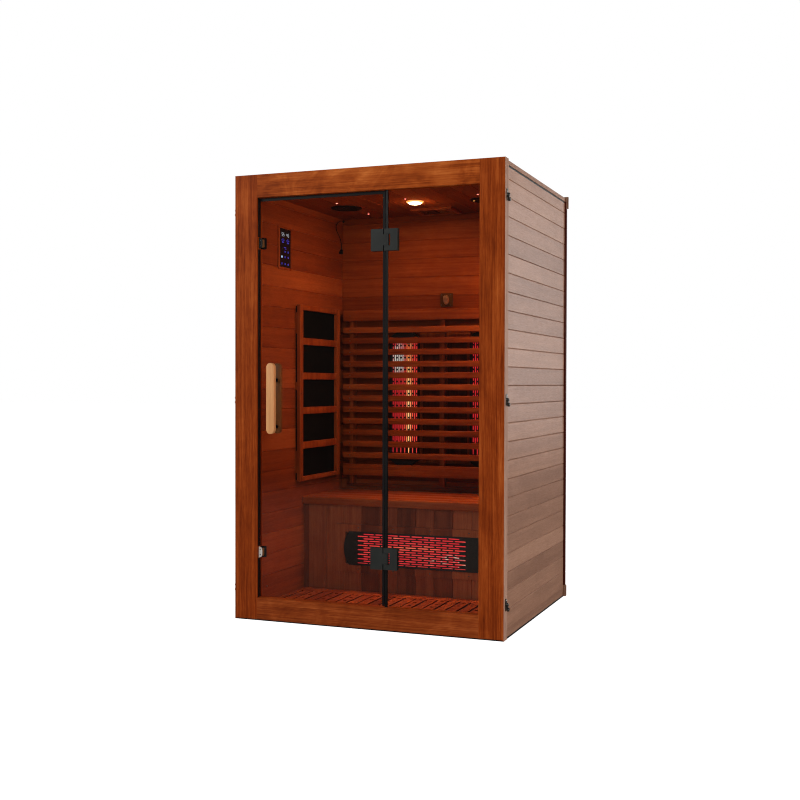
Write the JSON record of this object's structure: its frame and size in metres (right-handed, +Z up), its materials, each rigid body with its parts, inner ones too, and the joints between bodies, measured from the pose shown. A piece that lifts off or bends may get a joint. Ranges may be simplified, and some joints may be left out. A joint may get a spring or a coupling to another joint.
{
  "type": "infrared sauna cabin",
  "caption": "Boarded timber infrared sauna cabin with a glass front, hinged glass door, slatted backrest, bench and glowing slotted heaters.",
  "frame": {"origin": "on the ground, in the middle of the cabin's footprint", "axes": "+X to the right seen from the front, +Y to the back, +Z up"},
  "size_m": [1.232, 1.072, 1.9],
  "materials": {
    "panel_wood": "oiled reddish-brown boards with open joints",
    "frame_wood": "stained solid timber, satin",
    "inner_wood": "warm reddish-brown planed timber",
    "handle_wood": "pale planed hardwood, rounded edges",
    "clear_glass": "clear toughened glass, faint grey tint",
    "black_metal": "fine matt black powder coat",
    "black_seal": "matt black extruded seal",
    "steel": "dark brushed metal",
    "black_plastic": "matt black moulding",
    "black_gloss": "glossy black touch panel",
    "carbon": "matt black carbon sheet under a woven cover",
    "heater_rod": "glowing infrared rod",
    "lamp_glass": "frosted warm lamp cover",
    "cord_rubber": "black flexible lead",
    "box_metal": "grey sheet metal box"
  },
  "bodies": {
    "cabin": {"floor_base": "panel_wood", "duckboard": "inner_wood", "left_wall": "panel_wood", "right_wall": "panel_wood", "back_wall": "panel_wood", "roof_panel": "panel_wood", "left_stile": "frame_wood", "right_stile": "frame_wood", "header_rail": "frame_wood", "sill_rail": "frame_wood", "fixed_glass": "clear_glass", "pivot_post": "black_metal", "upper_hinge_fixed_leaf": "black_metal", "lower_hinge_fixed_leaf": "black_metal", "magnet_block_upper": "black_plastic", "magnet_block_lower": "black_plastic", "control_bezel": "inner_wood", "control_screen": "black_gloss", "left_heater_frame": "inner_wood", "left_heater_panel": "carbon", "right_heater_frame": "inner_wood", "right_heater_panel": "carbon", "backrest": "inner_wood", "rear_left_heater": "black_metal", "rear_right_heater": "black_metal", "rear_left_rod": "heater_rod", "rear_right_rod": "heater_rod", "rear_centre_panel": "inner_wood", "bench_seat": "inner_wood", "bench_front_panel": "inner_wood", "bench_heater_board": "inner_wood", "bench_heater": "black_metal", "bench_heater_rod": "heater_rod", "ceiling_lamp": "lamp_glass", "left_speaker": "black_plastic", "right_speaker": "black_plastic", "vent_frame": "inner_wood", "temperature_sensor": "black_plastic", "sensor_cord": "cord_rubber", "robe_hook": "inner_wood", "power_box": "box_metal"},
    "door": {"door_glass": "clear_glass", "door_seal_upper": "black_seal", "door_seal_middle": "black_seal", "door_seal_lower": "black_seal", "upper_hinge_door_leaf": "black_metal", "lower_hinge_door_leaf": "black_metal", "handle_outer": "handle_wood", "handle_inner": "handle_wood", "handle_bolt_upper": "steel", "handle_bolt_lower": "steel", "strike_plate_upper": "steel", "strike_plate_lower": "steel"},
    "vent_cover": {"vent_slider": "inner_wood"},
    "right_latch_top_turn": {"right_latch_top": "steel"},
    "right_latch_middle_turn": {"right_latch_middle": "steel"},
    "right_latch_bottom_turn": {"right_latch_bottom": "steel"},
    "left_latch_top_turn": {"left_latch_top": "steel"},
    "left_latch_middle_turn": {"left_latch_middle": "steel"},
    "left_latch_bottom_turn": {"left_latch_bottom": "steel"}
  },
  "joints": [
    {"name": "door_hinge", "type": "hinge", "parent": "cabin", "child": "door", "pos_m": [0.093, -0.498, 0], "axis": [0, 0, 1], "range_deg": [0, 100]},
    {"name": "vent_slide", "type": "slide", "parent": "cabin", "child": "vent_cover", "axis": [1, 0, 0], "range_m": [0, 0.087]},
    {"name": "right_latch_top_hinge", "type": "hinge", "parent": "cabin", "child": "right_latch_top_turn", "pos_m": [0.6, -0.497, 1.756], "axis": [1, 0, 0], "range_deg": [0, 90]},
    {"name": "right_latch_middle_hinge", "type": "hinge", "parent": "cabin", "child": "right_latch_middle_turn", "pos_m": [0.6, -0.497, 0.95], "axis": [1, 0, 0], "range_deg": [0, 90]},
    {"name": "right_latch_bottom_hinge", "type": "hinge", "parent": "cabin", "child": "right_latch_bottom_turn", "pos_m": [0.6, -0.497, 0.142], "axis": [1, 0, 0], "range_deg": [0, 90]},
    {"name": "left_latch_top_hinge", "type": "hinge", "parent": "cabin", "child": "left_latch_top_turn", "pos_m": [-0.6, -0.497, 1.756], "axis": [1, 0, 0], "range_deg": [0, 90]},
    {"name": "left_latch_middle_hinge", "type": "hinge", "parent": "cabin", "child": "left_latch_middle_turn", "pos_m": [-0.6, -0.497, 0.95], "axis": [1, 0, 0], "range_deg": [0, 90]},
    {"name": "left_latch_bottom_hinge", "type": "hinge", "parent": "cabin", "child": "left_latch_bottom_turn", "pos_m": [-0.6, -0.497, 0.142], "axis": [1, 0, 0], "range_deg": [0, 90]}
  ]
}
